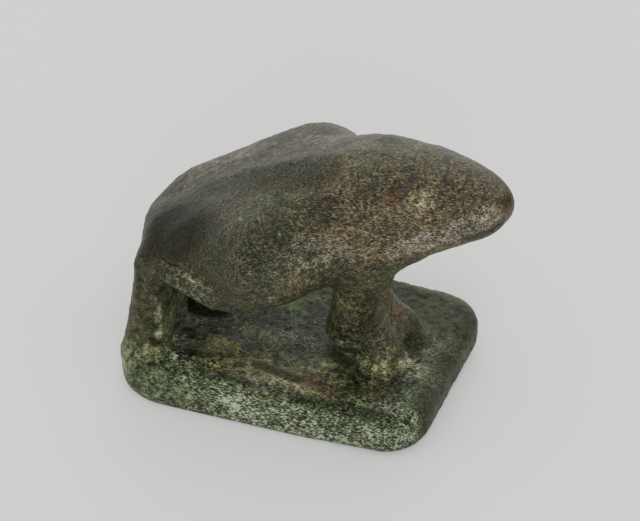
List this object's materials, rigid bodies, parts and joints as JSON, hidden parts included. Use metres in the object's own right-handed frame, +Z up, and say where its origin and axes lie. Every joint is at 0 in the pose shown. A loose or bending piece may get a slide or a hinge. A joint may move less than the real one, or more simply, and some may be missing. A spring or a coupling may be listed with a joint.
{
  "type": "frog amulet",
  "caption": "Small cast bronze frog crouching with raised head on a rounded rectangular plinth, worn, with green and brown patina.",
  "frame": {"origin": "centre of the plinth's flat underside", "axes": "+X from the rump towards the snout, +Y to the frog's left, +Z up"},
  "size_m": [0.0243, 0.0158, 0.0181],
  "materials": {
    "bronze_patina": "rough corroded bronze with green and brown patina"
  },
  "bodies": {
    "root": {"frog_amulet": "bronze_patina"}
  },
  "joints": []
}
